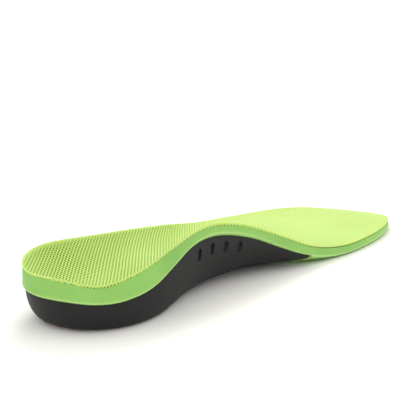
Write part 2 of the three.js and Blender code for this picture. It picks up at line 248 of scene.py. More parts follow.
# Height of the middle of the foot bed, and the depth from there to the seam.
bed_height = smooth_line(
    [(0, heel_bed), (heel_at, heel_bed), (85, waist_bed), (111, between(waist_bed, forefoot_bed, 0.55)),
     (129, between(waist_bed, forefoot_bed, 0.88)), (167, forefoot_bed), (240, forefoot_bed - 0.2),
     (foot_length, toe_height - 0.1)])
bed_depth = smooth_line([(0, 5.5), (97, 5), (137, 4.2), (230, 4.2), (foot_length, toe_height - 1.6)])
print("rim, mm:", np.round(rim.max(0) - rim.min(0), 1), "points", len(rim))

# %% [markdown]
# ## Rows across the foot
# Every layer follows the same foot bed, so all of them are drawn on the same rows. A row runs right
# round the foot at one distance in from the rim. The bowl's wall falls steeply at first and then
# flattens, so its rows come closer together near the rim. Past the bowl, the rows close in on a
# middle line, where the two sides meet, so that no layer needs a pole or a big flat face.


# %% The middle line, and the heights of a row
def plan(inset):
    """The rim moved in by a distance."""
    return rim + inward * np.reshape(inset, (-1, 1))


def middle_line(shrink=0.85):
    """For each point of the rim, the point where its side of the foot meets the other one."""
    ends = plan(bowl)
    other = np.roll(ends[::-1], 1, axis=0)
    halfway = (ends + other) / 2
    centre = (halfway[0, 0] + halfway[HALF, 0]) / 2
    x = centre + (halfway[:, 0] - centre) * shrink
    y = np.interp(x, halfway[:HALF + 1, 0], halfway[:HALF + 1, 1])
    return np.column_stack([x, y])


middle = middle_line()


def inward_row(reach, start=0.0):
    """Plan points and insets of a row. Reach is 0 at the start, 1 at the bowl's end, 2 on the middle."""
    inset = start + (bowl - start) * min(reach, 1)
    points = plan(inset)
    return points + (middle - points) * max(reach - 1, 0), inset


bowl_steepness = 2.1


def bed_at(points, inset):
    """Height of the cover's upper face."""
    bed = bed_height(points[:, 0])
    return bed + (edge - bed) * (1 - np.clip(inset / bowl, 0, 1)) ** bowl_steepness


def seam_at(points, inset):
    """Height of the face that the foam shares with the shell."""
    depth = bed_depth(points[:, 0])
    return bed_at(points, inset) - depth - (band - depth) * (1 - np.clip(inset / bowl, 0, 1)) ** 2


def row(height, reach, drop, start=0.0):
    """One row of a face that lies a drop below a height function."""
    points, inset = inward_row(reach, start)
    return np.column_stack([points, height(points, inset) - drop])


def rim_row(inset, z):
    """One row at a set distance in from the rim."""
    return np.column_stack([plan(inset), np.broadcast_to(z, SIDES)])


def edge_row(height, inset, drop):
    """One row near the rim, on a face that lies a drop below a height function."""
    inset = np.broadcast_to(inset, SIDES)
    return rim_row(inset, height(plan(inset), inset) - drop)


# The rows of every layer, from the middle line out to the rim.
REACHES = (2, 1.8, 1.6, 1.4, 1.2, 1, 0.85, 0.7, 0.56, 0.44, 0.33, 0.24, 0.16, 0.1, 0.05, 0)
print("middle line from", np.round(middle[0], 1), "to", np.round(middle[HALF], 1))

# %% [markdown]
# ## Growing a skin
# By hand, a shape like this is started from a circle laid on the outline and then extruded edge by
# edge: each extrusion makes the next row, and the row is moved to its place. The helper does just
# that. A number on each point says which place round the foot it belongs to, because an extrusion
# keeps a point's attributes but not its order.


# %% Grow a closed skin from rows
def alone(piece):
    """Selects one object and nothing else."""
    bpy.ops.object.select_all(action="DESELECT")
    piece.select_set(True)
    bpy.context.view_layer.objects.active = piece


def put(piece, number, places, cloth=None):
    """Moves the selected points to their row's places, and notes where they lie on the flat cloth."""
    mesh = bmesh.from_edit_mesh(piece.data)
    turn, row_number = mesh.verts.layers.int["turn"], mesh.verts.layers.int["row"]
    flat = mesh.verts.layers.float_vector["flat"]
    for v in mesh.verts:
        if v.select:
            v.co = places[v[turn]]
            v[row_number] = number
            if cloth is not None:
                v[flat] = (*cloth[v[turn]], 0)
    bmesh.update_edit_mesh(piece.data)


def fill_row(piece, number):
    """One flat face over a whole row."""
    bpy.ops.mesh.select_all(action="DESELECT")
    mesh = bmesh.from_edit_mesh(piece.data)
    row_number = mesh.verts.layers.int["row"]
    for v in mesh.verts:
        v.select_set(v[row_number] == number)
    mesh.select_flush_mode()
    bmesh.update_edit_mesh(piece.data)
    bpy.ops.mesh.edge_face_add()


def grow(name, rows, cap=(False, False), cloth=None):
    """A closed skin from rows of points, in millimetres on the foot. A cap fills the first or last row."""
    count = len(rows[0])
    rows = [placed(r) for r in rows]
    bpy.ops.object.select_all(action="DESELECT")
    bpy.ops.mesh.primitive_circle_add(vertices=count, radius=foot_length / 2 * MM)
    piece = bpy.context.object
    piece.name = piece.data.name = name
    piece.data.attributes.new("turn", "INT", "POINT").data.foreach_set("value", np.arange(count))
    piece.data.attributes.new("row", "INT", "POINT")
    piece.data.attributes.new("flat", "FLOAT_VECTOR", "POINT")
    bpy.ops.object.mode_set(mode="EDIT")
    bpy.ops.mesh.select_mode(type="VERT")
    bpy.ops.mesh.select_all(action="SELECT")
    put(piece, 0, rows[0], cloth and cloth[0])
    for number, places in enumerate(rows[1:], 1):
        bpy.ops.mesh.extrude_edges_move()
        put(piece, number, places, cloth and cloth[number])
    if cap[0]:
        fill_row(piece, 0)
    if cap[1]:
        fill_row(piece, len(rows) - 1)
    bpy.ops.mesh.select_all(action="SELECT")
    bpy.ops.mesh.remove_doubles(threshold=1e-6)
    bpy.ops.mesh.normals_make_consistent(inside=False)
    bpy.ops.object.mode_set(mode="OBJECT")
    piece.location = (0, 0, 0)
    return piece


# %% Cut and join
def apply_modifier(piece, kind, **settings):
    """Adds a modifier with its settings and applies it."""
    modifier = piece.modifiers.new(kind.lower(), kind)
    for key, value in settings.items():
        setattr(modifier, key, value)
    alone(piece)
    bpy.ops.object.modifier_apply(modifier=modifier.name)


def combine(piece, tool, operation):
    """Cuts or joins two closed solids, and throws the tool away."""
    apply_modifier(piece, "BOOLEAN", operation=operation, object=tool, solver="MANIFOLD")
    bpy.data.objects.remove(tool)
    return piece


def joined(pieces):
    """Several objects as one."""
    bpy.ops.object.select_all(action="DESELECT")
    for piece in pieces:
        piece.select_set(True)
    bpy.context.view_layer.objects.active = pieces[0]
    bpy.ops.object.join()
    return pieces[0]


# %% A bar, a block and a measure
def wire(name, path, radius, flatten=1.0, closed=False, around=8):
    """A round bar along a path of points, as a tool or a bead. Flatten squeezes its height."""
    path = np.asarray(path, float)
    ahead = np.roll(path, -1, axis=0) - np.roll(path, 1, axis=0)
    if not closed:
        ahead[0], ahead[-1] = path[1] - path[0], path[-1] - path[-2]
    ahead /= np.linalg.norm(ahead, axis=1)[:, None]
    across = np.column_stack([-ahead[:, 1], ahead[:, 0], np.zeros(len(path))])
    across /= np.linalg.norm(across, axis=1)[:, None]
    turns = np.linspace(0, 2 * math.pi, around, endpoint=False)
    rings = [
        point + np.outer(np.cos(turns), side) * radius + np.outer(np.sin(turns), (0, 0, radius * flatten))
        for point, side in zip(path, across)
    ]
    if closed:
        rings.append(rings[0])
    return grow(name, rings, cap=(not closed, not closed))


def level(outline, z):
    """A plan outline at a height."""
    return np.column_stack([outline, np.full(len(outline), z)])


def prism(name, outline, low, high):
    """A straight-sided block over a plan outline."""
    return grow(name, [level(outline, z) for z in (low, high)], cap=(True, True))


def report(piece):
    """Prints what a piece measures."""
    co = np.array([v.co for v in piece.data.vertices])
    size = np.round((co.max(0) - co.min(0)) / MM, 2)
    mesh = bmesh.new()
    mesh.from_mesh(piece.data)
    open_edges = sum(not e.is_manifold for e in mesh.edges)
    print(piece.name, "size, mm", size, "faces", len(piece.data.polygons), "open edges", open_edges,
          "volume, cm3", round(mesh.calc_volume(signed=True) * 1e6, 2))
    mesh.free()


# %% [markdown]
# ## The knit cover
# The cover is a warp-knit spacer fabric about a millimetre thick, pressed over the warm foam and
# trimmed with it. Cloth simulation isn't needed for a cloth that is glued down all over: it has the
# foam's shape. What it does need is its own flat pattern, so each row also records how far along the
# cloth it lies. The trimming knife wanders by about a tenth of a millimetre, which is what makes the
# edge look cut and not moulded.


# %% Grow the cover
def wandering(amount, waves, seed):
    """A small unsteadiness round the rim, from a few sine waves that close on themselves."""
    random = np.random.default_rng(seed)
    turn = np.linspace(0, 2 * math.pi, SIDES, endpoint=False)
    total = sum(np.sin(turn * k + random.uniform(0, 6.28)) * random.uniform(0.4, 1) for k in waves)
    return total * amount / math.sqrt(len(waves))


def cloth_of(rows):
    """Where each row lies on the flat cloth: in plan on the middle, then unrolled up the bowl's wall."""
    flat_rows = REACHES.index(1) + 1
    flat = [this[:, :2] for this in rows[:flat_rows]]
    for last, this in zip(rows[flat_rows - 1:], rows[flat_rows:]):
        length = np.linalg.norm(this - last, axis=1)
        flat.append(flat[-1] - inward * length[:, None])
    return flat


trim = wandering(0.07, (68, 97, 141, 190), seed=3)
upper = [row(bed_at, reach, 0, trim + 0.5) for reach in REACHES]
upper += [edge_row(bed_at, trim + 0.24, 0.06), edge_row(bed_at, trim + 0.07, 0.2)]
lower = [edge_row(bed_at, trim, 0.45), edge_row(bed_at, trim + 0.05, 0.8)]
lower += [row(bed_at, reach, cover_thick, trim + 0.15) for reach in REACHES[::-1]]
upper_flat = cloth_of(upper)
lower_flat = [upper_flat[-1]] * 2 + upper_flat[:len(REACHES)][::-1]
cover = grow("top_cover", upper + lower, cloth=upper_flat + lower_flat)

flat = np.zeros(len(cover.data.vertices) * 3)
cover.data.attributes["flat"].data.foreach_get("vector", flat)
corners = np.array([loop.vertex_index for loop in cover.data.loops])
cover.data.uv_layers.new(name="cloth").data.foreach_set("uv", flat.reshape(-1, 3)[corners, :2].ravel())


def mark(piece, name, values):
    """Writes a number for each point, which a material can read."""
    piece.data.attributes.new(name, "FLOAT", "POINT").data.foreach_set("value", np.asarray(values, float))


def rows_of(piece):
    """The row that each point was grown in."""
    found = np.zeros(len(piece.data.vertices), int)
    piece.data.attributes["row"].data.foreach_get("value", found)
    return found


# The rows that the knife made, from the upper face's last row to the lower edge.
trimmed = range(len(REACHES) - 1, len(REACHES) + 4)
mark(cover, "cut_edge", np.isin(rows_of(cover), list(trimmed)))
report(cover)

# %% [markdown]
# ## The film
# A hot-melt film, sold on a roll, bonds the knit to the foam. It is hidden apart from its edge, and
# it stops just short of the rim, because it shrinks back when it melts.


# %% Grow the film
def layer(name, height, top, thick, start):
    """A closed layer of small thickness that lies a distance below a height function."""
    upper = [row(height, reach, top, start) for reach in REACHES]
    lower = [row(height, reach, top + thick, start) for reach in REACHES[::-1]]
    return grow(name, upper + lower)


film = layer("cover_film", bed_at, top=cover_thick + layer_gap, thick=film_thick, start=0.9)
report(film)

# %% [markdown]
# ## The shell's front edge and the pads' outlines
# Three pieces meet along the shell's front edge, and each pad lies in a recess of its own shape. Each
# outline is drawn once and moved out or in for the fit. The recesses flare a little at their mouths,
# as a moulded edge does.


# %% Outlines and the tools made from them
front_edge = through([
    (-26, 62), (-21.5, 46), (-18.5, 42.2), (-12.5, 38.8), (-5.6, 30.5), (-1, 16), (0, 0),
    (-1, -16), (2, -26.5), (6, -36), (8.5, -44), (12, -62),
]) + (shell_front_at, 0)
cut_reach = 80


def behind_front(name, set_back, flare=0.0):
    """All that lies behind the shell's front edge. The flare draws its lower edge back, rounded."""
    rows = []
    for z, share in ((-cut_reach, 1), (0.45, 1), (0.6, 0.55), (0.8, 0.2), (1.1, 0), (cut_reach, 0)):
        line = evenly(front_edge - (set_back + flare * share, 0), 160)
        back = [(-cut_reach, line[-1, 1]), (-cut_reach, line[0, 1])]
        rows.append(level(np.concatenate([line, back]), z))
    return grow(name, rows, cap=(True, True))


heel_pad_shares = [
    (-1, 0), (-0.9, -0.43), (-0.76, -0.73), (-0.53, -0.94), (-0.24, -1), (0, -0.93), (0.15, -0.76),
    (0.29, -0.55), (0.45, -0.34), (0.67, -0.16), (0.89, 0.06), (1, 0.38), (0.97, 0.6), (0.83, 0.83),
    (0.56, 0.97), (0.19, 1), (-0.15, 0.93), (-0.45, 0.82), (-0.72, 0.64), (-0.92, 0.37),
]
forefoot_pad_shares = [
    (-0.91, 0.97), (-1, 0.9), (-0.94, 0.77), (-0.77, 0.58), (-0.7, 0.36), (-0.72, 0.12),
    (-0.75, -0.14), (-0.71, -0.42), (-0.55, -0.68), (-0.24, -0.87), (0.15, -0.98), (0.53, -1),
    (0.84, -0.94), (1, -0.8), (0.97, -0.57), (0.87, -0.26), (0.81, 0.06), (0.81, 0.44),
    (0.75, 0.69), (0.6, 0.87), (0.32, 0.98), (-0.17, 1), (-0.7, 1),
]


def pad_line(node, shares, steps=240):
    """A pad's outline, inside its CAD box."""
    low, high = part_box(node)
    low, high = ((corner - foot_origin) / MM for corner in (low, high))
    centre, half = np.array((low + high) / 2)[:2], np.array((high - low) / 2)[:2]
    drawn = through([centre + half * share for share in shares], closed=True)
    return evenly(drawn, steps, closed=True)


def offset(outline, distance):
    """An outline moved outwards by a distance."""
    ahead = np.roll(outline, -1, axis=0) - np.roll(outline, 1, axis=0)
    ahead /= np.linalg.norm(ahead, axis=1)[:, None]
    return outline + np.column_stack([ahead[:, 1], -ahead[:, 0]]) * distance


heel_pad_line = pad_line("heel_pad", heel_pad_shares)
forefoot_pad_line = pad_line("forefoot_pad", forefoot_pad_shares)
pad_fit, pad_ceiling = 0.45, 2.4


def recess(name, line):
    """The tool that cuts a pad's recess: straight walls with a rounded mouth."""
    walls = ((-4, 0.45), (sole_height, 0.45), (0.62, 0.24), (0.85, 0.08), (1.15, 0), (pad_ceiling, 0))
    return grow(name, [level(offset(line, pad_fit + flare), z) for z, flare in walls], cap=(True, True))


print("shell front from", np.round(front_edge[0], 1), "to", np.round(front_edge[-1], 1))

# %% [markdown]
# ## The foam cushion
# The foam is moulded in one piece and is the insole's body. It is grown whole first, with its real
# underside at the forefoot. Then two tools cut it, as two halves of a mould shape it: one takes away
# all that lies under the seam behind the shell's front edge, and one sinks the recess for the
# forefoot pad. The side swells a little between the cover and the seam, and ends in a thin lip that
# hides the edge of the shell. Beads round the recess and along the shell's edge are part of the mould.


# %% Grow and cut the foam
def underside(start, side_height, first_turn=0.0, turns=14, to_middle=6):
    """Rows of a rounded underside, from the side in to the middle line."""
    rows = []
    for turn in np.linspace(first_turn, math.pi / 2, turns):
        inset = start + rounding * (1 - math.cos(turn))
        rows.append(rim_row(inset, sole_height + (side_height - sole_height) * (1 - math.sin(turn))))
    last = rows[-1][:, :2]
    for share in np.linspace(0, 1, to_middle + 1)[1:]:
        rows.append(level(last + (middle - last) * share, sole_height))
    return rows


def foam_side(shares_and_insets, top_drop):
    """Rows down the foam's side, from under the cover to the seam."""
    top, bottom = edge - top_drop, edge - band
    return [rim_row(inset, top + (bottom - top) * share) for share, inset in shares_and_insets]


lip, lip_drop = -0.18, 0.35
foam_rows = [row(bed_at, reach, foam_top, 0.7) for reach in REACHES]
side_profile = ((0.0, 0.45), (0.05, 0.34), (0.16, 0.2), (0.35, 0.06), (0.6, 0), (0.8, 0),
                (0.92, -0.08), (1, lip))
foam_rows += foam_side(side_profile, top_drop=foam_top + 0.05)
# The lip hangs lower where the seam is well off the floor.
lip_height = edge - band - 2 * lip_drop * np.clip((edge - band - sole_height) / 2, 0, 1)
foam_rows += underside(lip, lip_height)
foam = grow("foam_cushion", foam_rows)

# The tool runs on past the rim, where an inset is negative, and down below the floor.
past_rim = -4
over_rows = [row(seam_at, reach, 0, 1.3) for reach in REACHES]
over_rows += [edge_row(seam_at, inset, drop)
              for inset, drop in ((0.95, 0.22), (0.6, lip_drop), (0.2, lip_drop))]
over_rows += [rim_row(past_rim, seam_at(plan(0), np.zeros(SIDES)) - lip_drop),
              rim_row(past_rim, -cut_reach / 4)]
over_shell = grow("over_shell", over_rows, cap=(False, True))
combine(over_shell, behind_front("behind_foam_edge", set_back=0), "INTERSECT")
combine(foam, over_shell, "DIFFERENCE")
combine(foam, recess("forefoot_recess", forefoot_pad_line), "DIFFERENCE")
report(foam)

# %% Beads on the foam's underside
bead_radius, bead_flatness = 0.6, 0.45
past_recess, past_shell = 1.5, 1.1
bead_from, bead_to = -17, 33
pad_bead = level(offset(forefoot_pad_line, pad_fit + past_recess), sole_height)
combine(foam, wire("pad_bead", pad_bead, bead_radius, bead_flatness, closed=True), "UNION")
on_sole = front_edge[(front_edge[:, 1] > bead_from) & (front_edge[:, 1] < bead_to)]
shell_bead = level(evenly(on_sole, 120) + (past_shell, 0), sole_height)
combine(foam, wire("shell_bead", shell_bead, bead_radius, bead_flatness), "UNION")

# %% [markdown]
# Where the insole is trimmed to fit a smaller shoe, fine lines follow the toe. They are cut about a
# third of a millimetre deep, so that scissors or a knife can follow them.

# %% Trim lines at the toe
trim_lines = []
# From two thirds along the inner side, round the toe, and over a third back along the outer side.
at_toe = slice(int(0.66 * HALF), int(1.38 * HALF), 2)
for inset in (5.5, 7.6, 9.7):
    line = evenly(plan(inset)[at_toe], 150)
    trim_lines.append(wire("trim_line", level(line, sole_height), radius=0.3))
combine(foam, joined(trim_lines), "DIFFERENCE")
report(foam)

# %% Painted highlight on the foam: a pale band along its lip at the seam, and on the beads
def points_of(piece):
    """Where a piece's points are on the foot, in millimetres."""
    return (np.array([v.co for v in piece.data.vertices]) - np.array(foot_origin)) / MM


highlight_width, highlight_reach = 0.9, 0.6
bead_foot, bead_fade = 0.08, 0.1
places = points_of(foam)
near = np.array([int(np.argmin(((rim - place[:2]) ** 2).sum(1))) for place in places])
inset = ((places[:, :2] - rim[near]) * inward[near]).sum(1)
from_lip = np.abs(places[:, 2] - lip_height[near])
lip_highlight = np.clip(1 - from_lip / highlight_width, 0, 1) * (inset < highlight_reach)
bead_highlight = np.clip((sole_height - bead_foot - places[:, 2]) / bead_fade, 0, 1)
# The mark sets where the foam's colour is lifted to a pale painted highlight.
mark(foam, "pale", np.maximum(lip_highlight, bead_highlight))
print("pale points:", int((lip_highlight > 0.5).sum()), "at the lip,", int((bead_highlight > 0.5).sum()), "on the beads")

# %% [markdown]
# ## The arch shell
# The shell is injection moulded from a stiff nylon. It is inset a little from the foam, and its
# outside curves under the foot in a quarter ellipse, wide under the arch and tight at the heel. It is
# grown like the foam, cut to its front edge, and then everything sunk in it is cut: the heel pad's
# recess, the four blind slots in the arch wall, the flex grooves and the size ring. A fine raised
# ridge beside the longest groove is added last.


# %% Grow the shell and cut it to its front edge
shell_inset, shell_fit = 0.8, 0.3
shell_side = seam_at(plan(shell_inset), np.full(SIDES, shell_inset)) - shell_below_seam
shell_edge = 0.05 * (shell_side - sole_height)
shell_rows = [row(seam_at, reach, shell_below_seam, shell_inset + 0.35) for reach in REACHES]
# The shell's upper edge is rounded in three small steps.
shell_rows += [rim_row(shell_inset + inset, shell_side - shell_edge * drop)
               for inset, drop in ((0.16, 0.1), (0.04, 0.45), (0, 1))]
shell_rows += underside(shell_inset, shell_side, first_turn=0.09, turns=18)
shell = grow("moulded_shell", shell_rows)
combine(shell, behind_front("behind_shell_edge", set_back=shell_fit, flare=0.5), "INTERSECT")
report(shell)


# %% Tools for the slots, grooves and ring
slot_height, slot_depth = 5.6, 2.2


def slot_tool(station, width, below_seam):
    """A round-ended bar that points into the arch wall, just under the seam."""
    inner = np.arange(HALF)[(rim[:HALF, 0] < ball_at)]
    k = inner[np.argmin(np.abs(rim[inner, 0] - station))]
    centre = placed([station, rim[k, 1] + shell_inset, shell_side[k] - below_seam - slot_height / 2])
    bpy.ops.mesh.primitive_uv_sphere_add(
        segments=20, ring_count=12, radius=width / 2 * MM, location=centre)
    tool = bpy.context.object
    bpy.ops.object.mode_set(mode="EDIT")
    mesh = bmesh.from_edit_mesh(tool.data)
    for v in mesh.verts:
        v.co.y *= 2 * slot_depth / width
        if abs(v.co.z) > 1e-6:
            v.co.z += math.copysign((slot_height - width) / 2 * MM, v.co.z)
    bmesh.update_edit_mesh(tool.data)
    bpy.ops.object.mode_set(mode="OBJECT")
    bpy.ops.object.transform_apply(location=True, rotation=False, scale=False)
    return tool


ridge_line = [
    (117.7, 21.5), (119.2, 14.6), (115.8, 9.5), (112.3, 4.1), (108.7, -0.6), (104.3, -6.9), (102, -12.6),
]
grooves = [
    [(135.5, 13), (127.2, 5.3), (119.2, -3.5), (113.4, -10.4), (109.4, -16.7), (108.3, -23.7)],
    [(134, -9.3), (127.2, -12.8), (121.4, -18), (116.9, -24.4)],
    [(138.9, -29.5), (134.5, -31.2), (130.1, -32.1)],
]
side_crease = [(86.8, 30.3), (94.2, 29.3), (99.7, 30.5), (105.4, 33.3), (111.5, 35.6), (116.9, 36.9)]


def shell_under(points):
    """Height of the shell's underside at some plan points, from the nearest place on the rim."""
    heights = []
    for point in points:
        k = np.argmin(np.linalg.norm(rim - point, axis=1))
        inset = np.dot(point - rim[k], inward[k]) - shell_inset
        lean = 1 - min(inset / rounding[k], 1)
        heights.append(sole_height + (shell_side[k] - sole_height) * (1 - math.sqrt(1 - lean**2)))
    return np.array(heights)


def on_shell(points, count=60):
    """A smooth path through plan points, laid on the shell's underside."""
    path = evenly(through(points), count)
    return np.column_stack([path, shell_under(path)])


def circle(centre, radius, count=72):
    """Plan points on a circle."""
    turn = np.linspace(0, 2 * math.pi, count, endpoint=False)
    return np.array(centre) + np.column_stack([np.cos(turn), np.sin(turn)]) * radius


# Each slot is a little wider, and nearer the seam, than the one behind it.
slots = [slot_tool(station=68.8 + 9.5 * k, width=2.6 + 0.3 * k, below_seam=3.2 - 0.25 * k)
         for k in range(4)]
groove_bars = [wire("groove", on_shell(points), radius=0.55, flatten=0.8)
               for points in grooves + [side_crease]]
beside_ridge = np.array(ridge_line) + (3.6, 0.6)
groove_bars.append(wire("ridge_foot", on_shell(beside_ridge), radius=0.4, flatten=0.8))
ring_centre, ring_radii = (56.2, -9.7), (5.6, 1.6)
size_rings = [wire("size_ring", level(circle(ring_centre, ring_radius), sole_height),
                   radius=0.32, flatten=0.8, closed=True) for ring_radius in ring_radii]
tools = joined([recess("heel_recess", heel_pad_line), *slots])
combine(shell, tools, "DIFFERENCE")
for tool in groove_bars + size_rings:
    combine(shell, tool, "DIFFERENCE")
combine(shell, wire("ridge", on_shell(ridge_line), radius=0.28, flatten=0.9), "UNION")
report(shell)

# %% [markdown]
# ## Cement
# Each part is held by a brushed film of contact cement. The films are hidden once the parts are
# pressed together, so each is a plain thin layer that stops short of the edge it would ooze from.


# %% Lay the cement
shell_glue = layer("shell_glue", seam_at, top=0.1, thick=cement_thick, start=4.0)
combine(shell_glue, behind_front("behind_cement_edge", set_back=1.2), "INTERSECT")


def slab(name, outline, low, high, pitch=2.0):
    """A block over an outline, with a grid on its faces, so that it can bend with the foot."""
    reach = outline.max(0) - outline.min(0) + 4
    cells = [int(side / pitch) for side in reach]
    centre = (outline.max(0) + outline.min(0)) / 2
    bpy.ops.mesh.primitive_grid_add(
        x_subdivisions=cells[0], y_subdivisions=cells[1], size=1, location=placed([*centre, high]))
    block = bpy.context.object
    block.name = name
    block.scale = (reach[0] * MM, reach[1] * MM, 1)
    bpy.ops.object.transform_apply(location=True, rotation=False, scale=True)
    bpy.ops.object.mode_set(mode="EDIT")
    bpy.ops.mesh.select_all(action="SELECT")
    bpy.ops.mesh.extrude_region_move(TRANSFORM_OT_translate={"value": (0, 0, (low - high) * MM)})
    bpy.ops.mesh.select_all(action="SELECT")
    bpy.ops.mesh.normals_make_consistent(inside=False)
    bpy.ops.object.mode_set(mode="OBJECT")
    return combine(block, prism(name + "_outline", outline, low - 1, high + 1), "INTERSECT")


glue_inset = 0.6
heel_glue = slab("heel_pad_glue", offset(heel_pad_line, -glue_inset), low=2.1, high=2.3)
forefoot_glue = slab("forefoot_pad_glue", offset(forefoot_pad_line, -glue_inset), low=2.1, high=2.3)
for glue in (shell_glue, heel_glue, forefoot_glue):
    report(glue)

# %% [markdown]
# ## The gel pads
# Each pad is cast in a soft orange gel, with a smooth border and rows of small raised diamonds that
# grip and cushion. One diamond is modelled, from a four-sided cone with its edges bevelled. Two array
# modifiers repeat it, and a second copy, moved by half a pitch, fills the staggered rows. Those that
# would run into the border are deleted, and the rest are joined to the pad as one solid.


# %% Model a diamond and repeat it
bump_pitch, bump_rows = 4.6, 4.8
bump_foot, bump_crest, bump_sunk, bump_squeeze = 1.95, 1.0, 0.15, 0.86
field_height, pad_top = 0.55, 2.0
border_width, border_gap, slab_inset = 1.5, 1.0, 0.3


def diamonds(line, border):
    """The staggered diamonds that lie inside a pad's border."""
    low, high = line.min(0), line.max(0)
    counts = np.ceil((high - low) / (bump_pitch, bump_rows)).astype(int) + 1
    lattices = []
    for shift in (0, 0.5):
        depth = field_height + bump_sunk
        bpy.ops.mesh.primitive_cone_add(
            vertices=4, radius1=bump_foot * MM, radius2=bump_crest * MM, depth=depth * MM,
            rotation=(math.pi, 0, 0), location=(0, 0, 0))
        bump = bpy.context.object
        bpy.ops.object.transform_apply(location=False, rotation=True, scale=False)
        bump.scale = (1.0, bump_squeeze, 1)
        bump.location = placed([low[0] + shift * bump_pitch, low[1] + shift * bump_rows, depth / 2])
        bpy.ops.object.transform_apply(location=True, rotation=False, scale=True)
        apply_modifier(bump, "BEVEL", width=0.32 * MM, segments=2, limit_method="ANGLE")
        points = len(bump.data.vertices)
        apply_modifier(bump, "ARRAY", count=int(counts[0]), use_relative_offset=False,
                       use_constant_offset=True, constant_offset_displace=(bump_pitch * MM, 0, 0))
        apply_modifier(bump, "ARRAY", count=int(counts[1]), use_relative_offset=False,
                       use_constant_offset=True, constant_offset_displace=(0, bump_rows * MM, 0))
        co = np.array([v.co for v in bump.data.vertices]).reshape(-1, points, 3)
        centres = (co.mean(1) - np.array(foot_origin))[:, :2] / MM
        inside = [within(centre, line, border) for centre in centres]
        bpy.ops.object.mode_set(mode="EDIT")
        mesh = bmesh.from_edit_mesh(bump.data)
        mesh.verts.ensure_lookup_table()
        bpy.ops.mesh.select_all(action="DESELECT")
        for v in mesh.verts:
            v.select_set(not inside[v.index // points])
        bmesh.update_edit_mesh(bump.data)
        bpy.ops.mesh.delete(type="VERT")
        bpy.ops.object.mode_set(mode="OBJECT")
        lattices.append(bump)
    return joined(lattices)


def within(point, line, margin):
    """True where a point lies inside an outline by at least a margin."""
    ahead = np.roll(line, -1, axis=0)
    crosses = (line[:, 1] > point[1]) != (ahead[:, 1] > point[1])
    share = (point[1] - line[:, 1]) / (ahead[:, 1] - line[:, 1] + 1e-12)
    at_x = line[:, 0] + share * (ahead[:, 0] - line[:, 0])
    odd = np.count_nonzero(crosses & (point[0] < at_x)) % 2 == 1
    return odd and np.min(np.linalg.norm(line - point, axis=1)) > margin


def gel_pad(name, line):
    """A gel pad: a slab, a rounded border that stands proud of its field, and the diamonds."""
    pad = slab(name, offset(line, -slab_inset), low=field_height, high=pad_top)
    steps = ((0, 0.7), (0, 0.35), (-0.12, 0.16), (-0.4, 0.06), (-1.1, 0.06), (-1.35, 0.16),
             (-border_width, 0.4), (-border_width, 0.7), (-1.0, 1.2), (-0.4, 1.9), (0, 1.9))
    ring_rows = [level(offset(line, out), z) for out, z in (*steps, steps[0])]
    combine(pad, grow(name + "_border", ring_rows), "UNION")
    combine(pad, diamonds(line, border_width + border_gap), "UNION")
    return pad


heel_gel = gel_pad("heel_gel_pad", heel_pad_line)
forefoot_gel = gel_pad("forefoot_gel_pad", forefoot_pad_line)
wall_shade_reach, wall_shade_above = 0.2, 0.12
for pad, line in ((heel_gel, heel_pad_line), (forefoot_gel, forefoot_pad_line)):
    # The diamonds' tips are marked for a painted highlight, the field between them for painted shade.
    proud = np.array([1 - v.co.z / (field_height * MM) for v in pad.data.vertices])
    mark(pad, "proud", np.clip(proud, 0, 1))
    places = points_of(pad)
    from_edge = np.array([np.min(np.linalg.norm(line - place[:2], axis=1)) for place in places])
    # The wall at the pad's edge is marked for dark painted shade.
    mark(pad, "wall", (from_edge < wall_shade_reach) & (places[:, 2] > wall_shade_above))
    report(pad)

# %% [markdown]
# ## Finishes
# Each material starts from what the real one is. Colours are given as the hex values a designer would
# use and turned to linear light, because that is what the shader works in. Patterns are scaled from
# real sizes: thread spacing, grain and cell size in millimetres.


# %% Colour and node helpers
def linear(code):
    """An sRGB hex colour as linear RGBA."""
    parts = [int(code[k:k + 2], 16) / 255 for k in (1, 3, 5)]
    return (*[c / 12.92 if c <= 0.04045 else ((c + 0.055) / 1.055) ** 2.4 for c in parts], 1)


def add(material, kind, inputs=None, stops=(), **settings):
    """Adds a node. An input is a value, or (node, output) for a link. A ramp has two stops."""
    tree = material.node_tree
    made = tree.nodes.new("ShaderNode" + kind)
    for key, value in settings.items():
        setattr(made, key, value)
    for key, value in (inputs or {}).items():
        if isinstance(value, tuple) and isinstance(value[0], bpy.types.Node):
            tree.links.new(value[0].outputs[value[1]], made.inputs[key])
        else:
            made.inputs[key].default_value = value
    for k, (position, code) in enumerate(stops):
        element = made.color_ramp.elements[k]
        element.position, element.color = position, linear(code)
    return made


def start(name):
    """A new material with no nodes."""
    material = bpy.data.materials.new(name)
    material.use_nodes = True
    material.node_tree.nodes.clear()
    return material


def surface(material, **shader):
    """Ends a material with one Principled shader, set by its socket names."""
    principled = add(material, "BsdfPrincipled", shader)
    add(material, "OutputMaterial", {"Surface": (principled, "BSDF")})
    return material


def grained(material, place, size, strength, depth):
    """A fine surface grain. Its size and depth are in millimetres."""
    fine = add(material, "TexNoise", {
        "Vector": (place, "Object"), "Scale": 1 / (size * MM), "Detail": 2.0})
    return add(material, "Bump", {
        "Height": (fine, "Fac"), "Strength": strength, "Distance": depth * MM})
